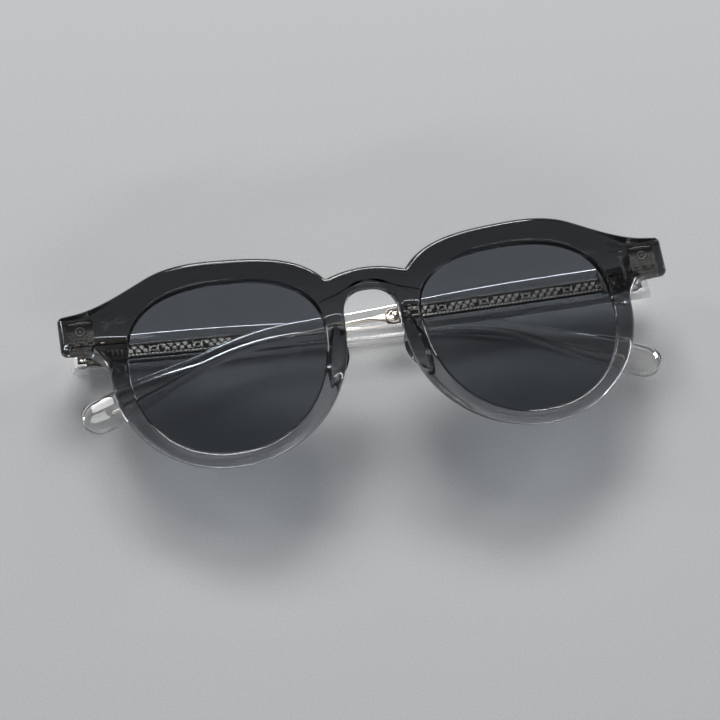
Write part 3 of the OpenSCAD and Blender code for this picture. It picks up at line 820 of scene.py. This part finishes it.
def dome(points, faces, at, face, length, width, height, lean=0.0, around=10):
    """A small raised oval on a plane; face is 1 where it rises along Z and -1 where it sinks."""
    rise = 3
    x, y, base = at
    first = len(points)
    c, s = math.cos(lean), math.sin(lean)
    for i in range(rise):
        q = math.pi / 2 * i / rise
        for j in range(around):
            b = 2 * math.pi * j / around
            u, v = length * math.cos(q) * math.cos(b), width * math.cos(q) * math.sin(b)
            points.append((x + u * c - v * s, y + u * s + v * c,
                           base + face * height * math.sin(q)))
    points.append((x, y, base + face * height))
    for i in range(rise - 1):
        for j in range(around):
            a, b = first + i * around + j, first + i * around + (j + 1) % around
            faces.append((a, b, b + around, a + around))
    last = first + (rise - 1) * around
    for j in range(around):
        faces.append((last + j, last + (j + 1) % around, first + rise * around))
    faces.append(tuple(first + j for j in range(around - 1, -1, -1)))


print("unit arc:", [[round(v, 2) for v in p] for p in arc(0, 0, 1, 1, (0, 45, 90))])


# %% Raised lines and scrolls
def rod(points, faces, line, base, radius, sides=6, taper=True):
    """A rounded line along (x, y) points, centred on the plane, slimmer at its ends if tapered."""
    first, count = len(points), len(line)
    for k, (x, y) in enumerate(line):
        x0, y0 = line[max(k - 1, 0)]
        x1, y1 = line[min(k + 1, count - 1)]
        d = math.hypot(x1 - x0, y1 - y0) or 1.0
        nx, ny = -(y1 - y0) / d, (x1 - x0) / d
        r = radius * (1 - 0.55 * abs(2 * k / (count - 1) - 1) ** 3 if taper else 1)
        for j in range(sides):
            b = 2 * math.pi * j / sides
            points.append((x + nx * r * math.cos(b), y + ny * r * math.cos(b),
                           base + 0.7 * r * math.sin(b)))
    faces.extend(tube_faces(sides, count, first))


SCROLL_R, SCROLL_TURNS, SCROLL_END = 0.5, 1.56, 0.18


def spiral(x, y, start):
    """Points of a scroll that winds in from its outer end."""
    line = []
    for u in shares(14):
        a = start + 2 * math.pi * SCROLL_TURNS * u
        r = SCROLL_R * mix(1, SCROLL_END, u)
        line.append((x + r * math.cos(a), y + r * math.sin(a)))
    return line


print("scroll's width in mm:", 2 * SCROLL_R)

# %% Sizes of the core
CORE_Z, CORE_UP = -TEMPLE_SET - 1.55, 0.7  # its middle plane, and its rise over the middle line
CORE_H, CORE_L, HEAD_R, STRIP_T = 3.8, 60.3, 2.2, 0.5
CORE_START, HEAD_X = BUTT_IN - 0.8, -CORE_L + HEAD_R  # one end, and the round head's centre
ROW_START, ROW_L = CORE_START - 1.0, CORE_L + CORE_START - HEAD_R - 2.2
BEAD_PITCH, ROPE_PITCH = 0.62, 0.95
PANELS, PANEL_FIRST, PANEL_PITCH = 5, 10.0, 10.4
PANEL_HALF, SCROLL_PITCH = 3.9, 1.75
POINT_L, WIRE_R, WIRE_END = 3.9, 0.42, TIP - 3.2
print("core strip in mm:", CORE_START + CORE_L, "x", CORE_H)


# %% The strip
def core_strip():
    """A flat strip with a round head."""
    edge = [(CORE_START, CORE_UP - CORE_H / 2), (CORE_START, CORE_UP + CORE_H / 2)]
    edge += arc(HEAD_X, CORE_UP, -HEAD_R, HEAD_R, range(120, -121, -12))
    points = [(x, y, z) for z in (CORE_Z - STRIP_T / 2, CORE_Z + STRIP_T / 2) for x, y in edge]
    return points, tube_faces(len(edge), 2)


core_points, core_faces = core_strip()
shaded_ground_faces = len(core_faces)
print("strip:", shaded_ground_faces, "faces")


# %% Scrolls, borders and head
def scroll_pair(points, faces, x, top, face):
    """Two small spirals, one over the other, each with a leaf."""
    for dx, dy, start in ((0.2, 0.52, -math.pi / 2), (-0.45, -0.38, math.pi / 2)):
        rod(points, faces, spiral(x + dx, CORE_UP + dy, start - 0.3), top, 0.18)
    for dx, dy in ((0.78, 0.8), (-1.0, -0.72)):
        dome(points, faces, (x + dx, CORE_UP + dy, top), face, 0.38, 0.18, 0.13, lean=0.6)


def borders(points, faces, top, face):
    """Fine beads along the upper edge, and a rope of larger, leaning ones along the lower."""
    for k in range(int(ROW_L / BEAD_PITCH)):
        dome(points, faces, (ROW_START - BEAD_PITCH * k, CORE_UP + CORE_H / 2 - 0.28, top), face,
             0.24, 0.26, 0.15, around=8)
    for k in range(int(ROW_L / ROPE_PITCH)):
        dome(points, faces, (ROW_START - ROPE_PITCH * k, CORE_UP - CORE_H / 2 + 0.4, top), face,
             0.55, 0.36, 0.16, lean=0.7)


def head(points, faces, top, face):
    """Beads round the strip's head, and an arc and a pair of scrolls inside."""
    inset = HEAD_R - 0.3
    for x, y in arc(HEAD_X, CORE_UP, -inset, inset, range(-112, 113, 16)):
        dome(points, faces, (x, y, top), face, 0.26, 0.26, 0.28)
    scroll_pair(points, faces, HEAD_X, top, face)
    rod(points, faces, arc(HEAD_X, CORE_UP, -1.2, 1.3, range(-90, 91, 15)), top, 0.14)


print("beads on each border:", int(ROW_L / BEAD_PITCH), int(ROW_L / ROPE_PITCH))


# %% Panels and the ornament as a whole
def panel(points, faces, middle, top, face):
    """Four pairs of scrolls between two bowed lines."""
    for k in (-1.5, -0.5, 0.5, 1.5):
        scroll_pair(points, faces, middle + SCROLL_PITCH * k, top, face)
    for way in (1, -1):
        bow = arc(middle + way * PANEL_HALF, CORE_UP, way * 0.35, 1.0, range(-80, 81, 20))
        rod(points, faces, bow, top, 0.16)


def core_ornament():
    """The borders, the head, the panels and the ovals between them, on both faces."""
    points, faces = [], []
    for face in (1, -1):
        top = CORE_Z + face * STRIP_T / 2
        borders(points, faces, top, face)
        head(points, faces, top, face)
        for k in range(PANELS):
            middle = -(PANEL_FIRST + PANEL_PITCH * k)
            panel(points, faces, middle, top, face)
            if k < PANELS - 1:
                oval = arc(middle - PANEL_PITCH / 2, CORE_UP, 0.8, 0.6, range(0, 361, 15))
                rod(points, faces, oval, top, 0.13, taper=False)
    return points, faces


ornament_points, ornament_faces = core_ornament()
print("ornament:", len(ornament_faces), "faces")


# %% The point and the wire, and the cores as a whole
def core_tail():
    """The flat point and the round wire."""
    rows = [(CORE_L - 1.0, 1.2, 0.28), (CORE_L, 1.25, 0.28), (CORE_L + 1.4, 0.95, 0.3),
            (CORE_L + 2.8, 0.62, 0.34), (CORE_L + POINT_L, WIRE_R, WIRE_R)]
    stations = [mix(CORE_L + POINT_L + 1, SHANK, u) for u in shares(6)]
    stations += [SHANK + BEND_L * u for u in shares(14, first=1)]
    stations += [mix(SHANK + BEND_L, WIRE_END - 0.4, u) for u in shares(4, first=1)]
    rows += [(s, WIRE_R, WIRE_R) for s in stations] + [(WIRE_END, WIRE_R / 2, WIRE_R / 2)]
    points, around = [], 16
    for s, half_h, half_t in rows:
        x, y, a = temple_path(s)
        u = ramp(s, CORE_L + POINT_L, SHANK)
        for j in range(around):
            b = 2 * math.pi * j / around
            v = half_h * math.cos(b) + CORE_UP * (1 - u)
            z = mix(CORE_Z, -TEMPLE_OUT + TAIL_T / 2, u) + half_t * math.sin(b)
            points.append((x - v * math.sin(a), y + v * math.cos(a), z))
    return points, tube_faces(around, len(rows))


for more_points, more_faces in ((ornament_points, ornament_faces), core_tail()):
    base = len(core_points)
    core_points = core_points + more_points
    core_faces = core_faces + [tuple(base + v for v in f) for f in more_faces]
for side, place in (("left", PLACE_LEFT), ("right", PLACE_RIGHT)):
    core = add_piece("core_" + side + "_rolled", core_points, core_faces, place,
                     "temple_" + side, core_lit_silver, crease=50)
    # the strip's flat ground gets the painted shade material, and the ornament the painted
    # highlight one
    core.data.materials.append(core_shaded_ground)
    for polygon in core.data.polygons[:shaded_ground_faces]:
        polygon.material_index = 1
    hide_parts("core_wire_" + side)

# %% [markdown]
# ## Hinges
#
# The hinge leaves and the screws keep their CAD shapes, because their barrels, arms and slots are
# exact. Milled metal never has knife edges, so a small bevel catches the light on each of them.

# %% Finish of the hinge nodes
BROKEN_EDGE = 0.07
for name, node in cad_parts.items():
    if "leaf" in name or "screw" in name:
        node.data.materials.clear()
        # the leaves take the darker nickel silver, which is painted shade
        node.data.materials.append(leaf_shaded_silver if "leaf" in name else screw_steel)
        bevel = node.modifiers.new("broken_edges", "BEVEL")
        bevel.width = BROKEN_EDGE * MM
        bevel.segments = 2
        bevel.limit_method = "ANGLE"
        bevel.angle_limit = math.radians(35)
        print(name, "bevelled")

# %% [markdown]
# A leaf is pressed hot into the acetate, and it is held there by what stands on its sunk side: a
# crossbar, a ring and small studs. They show through the endpiece. The temple's leaf shows its flat
# side with two rivet heads and a row of short ribs.

# %% Anchors and rivets of the leaves
PLATE_OUT, PLATE_AIR, LEAF_T = 4.6, 0.05, 1.0  # as in the CAD
PLATE_SUNK = BUTT_IN + BUTT_GAP + MITRE * (PLATE_OUT - TEMPLE_SET) + PLATE_AIR + LEAF_T
RING_X, RING_Y, RING_R = 1.5, 0.5, 1.05


def front_anchor():
    """A crossbar, a ring round a stud, and three studs, on the sunk side of the front's leaf."""
    points, faces = [], []
    bar = [(mix(-1.2, 4.2, u), 2.7) for u in shares(8)]
    rod(points, faces, bar, PLATE_SUNK, 0.42, sides=12)
    ring = arc(RING_X, RING_Y, RING_R, RING_R, range(0, 361, 20))
    rod(points, faces, ring, PLATE_SUNK, 0.34, sides=10, taper=False)
    dome(points, faces, (RING_X, RING_Y, PLATE_SUNK), 1, 0.5, 0.5, 0.3, around=16)
    for x in (-0.6, 1.5, 3.6):
        dome(points, faces, (x, -2.4, PLATE_SUNK), 1, 0.55, 0.4, 0.35, around=16)
    return points, faces


def temple_rivets():
    """Two rivet heads and five short ribs on the flat side of the temple's leaf."""
    points, faces = [], []
    for x in (-6.5, -2.6):
        dome(points, faces, (x, 1.7, -TEMPLE_SET), 1, 0.6, 0.6, 0.22, around=18)
    for k in range(5):
        rib = [(-6.4 + 0.9 * k, mix(-2.3, -0.4, u)) for u in shares(4)]
        rod(points, faces, rib, -TEMPLE_SET, 0.2, sides=8)
    return points, faces


anchor_points, anchor_faces = front_anchor()
rivet_points, rivet_faces = temple_rivets()
for side, front_place, temple_place in (("left", PLACE_FRONT @ MIRROR @ AT_HINGE, PLACE_LEFT),
                                        ("right", PLACE_FRONT @ AT_HINGE, PLACE_RIGHT)):
    add_piece("leaf_anchor_" + side, anchor_points, anchor_faces, front_place, "front",
              hinge_silver, crease=50)
    add_piece("leaf_rivets_" + side, rivet_points, rivet_faces, temple_place, "temple_" + side,
              hinge_silver, crease=50)
